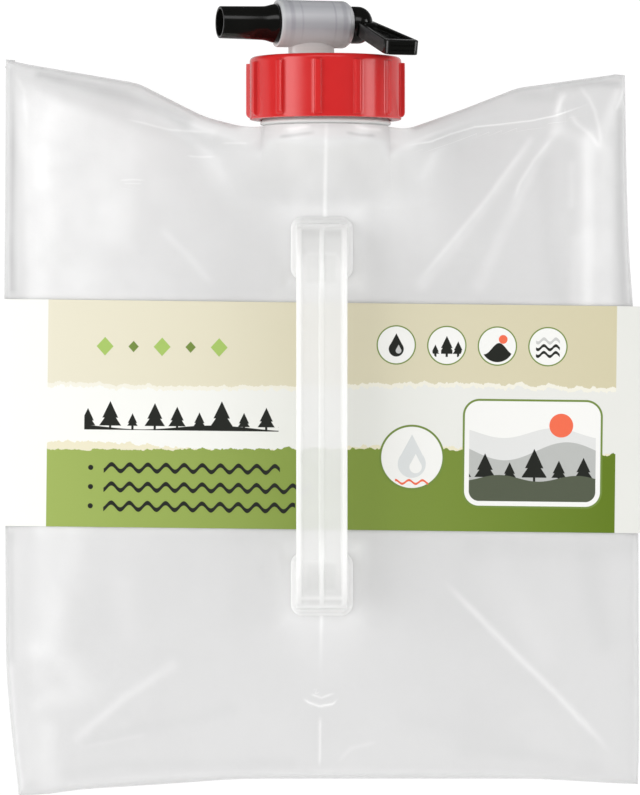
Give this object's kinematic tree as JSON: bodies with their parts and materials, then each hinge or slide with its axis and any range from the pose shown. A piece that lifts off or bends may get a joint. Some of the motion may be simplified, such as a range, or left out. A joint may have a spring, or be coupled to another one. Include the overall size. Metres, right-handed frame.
{
  "type": "collapsible water carrier",
  "caption": "Foldable film water canister, stored flat on its back, with strap handle, paper sleeve, threaded neck, ribbed screw cap ring and a swivelling lever tap.",
  "frame": {"origin": "middle of the sleeve's rear panel, on the face that lies on the floor", "axes": "+X to the right and +Y towards the tap when one looks at the handle, +Z out of the handle's wall"},
  "size_m": [0.2494, 0.306, 0.0656],
  "materials": {
    "film": "thin milky polyethylene film, soft gloss",
    "neck_plastic": "milky moulded polyethylene",
    "handle_plastic": "soft milky moulded polyethylene",
    "cap_plastic": "red moulded plastic, satin gloss",
    "gasket_rubber": "pale soft sealing ring",
    "tap_plastic": "translucent moulded plastic",
    "black_plastic": "black moulded plastic, satin gloss",
    "o_ring_rubber": "black rubber",
    "paper": "printed paper, faint gloss"
  },
  "bodies": {
    "back": {"bag_rear_wall": "film", "sleeve_rear": "paper", "bag_gusset": "film", "sleeve_left_fold": "paper", "sleeve_right_fold": "paper"},
    "front": {"bag_front_wall": "film", "neck": "neck_plastic", "handle_strap": "handle_plastic", "handle_pad_upper": "handle_plastic", "handle_pad_lower": "handle_plastic", "sleeve_front": "paper"},
    "seal": {"cap_gasket": "gasket_rubber"},
    "cap": {"cap_ring": "cap_plastic"},
    "tap": {"tap_body": "tap_plastic"},
    "valve": {"valve_spindle": "black_plastic", "lever": "black_plastic", "o_ring_lever_side": "o_ring_rubber", "o_ring_spout_side": "o_ring_rubber"}
  },
  "joints": [
    {"name": "bag_expand", "type": "slide", "parent": "back", "child": "front", "axis": [0, 0, 1], "range_m": [0, 0.265], "deforming": ["bag_gusset", "sleeve_left_fold", "sleeve_right_fold"]},
    {"name": "cap_lift", "type": "slide", "parent": "front", "child": "seal", "axis": [0, 1, 0], "range_m": [0, 0.0181]},
    {"name": "cap_unscrew", "type": "hinge", "parent": "seal", "child": "cap", "pos_m": [0, 0.1133, 0.03135], "axis": [0, 1, 0], "range_deg": [0, 1080]},
    {"name": "tap_swivel", "type": "hinge", "parent": "seal", "child": "tap", "pos_m": [0, 0.1498, 0.03135], "axis": [0, 1, 0], "continuous": true},
    {"name": "lever_turn", "type": "hinge", "parent": "tap", "child": "valve", "pos_m": [0, 0.1498, 0.03135], "axis": [0.9563, 0, -0.2924], "range_deg": [-90, 0]}
  ],
  "couplings": [
    {"joint": "cap_lift", "follows": "cap_unscrew", "m_per_rad": 0.00095493}
  ]
}
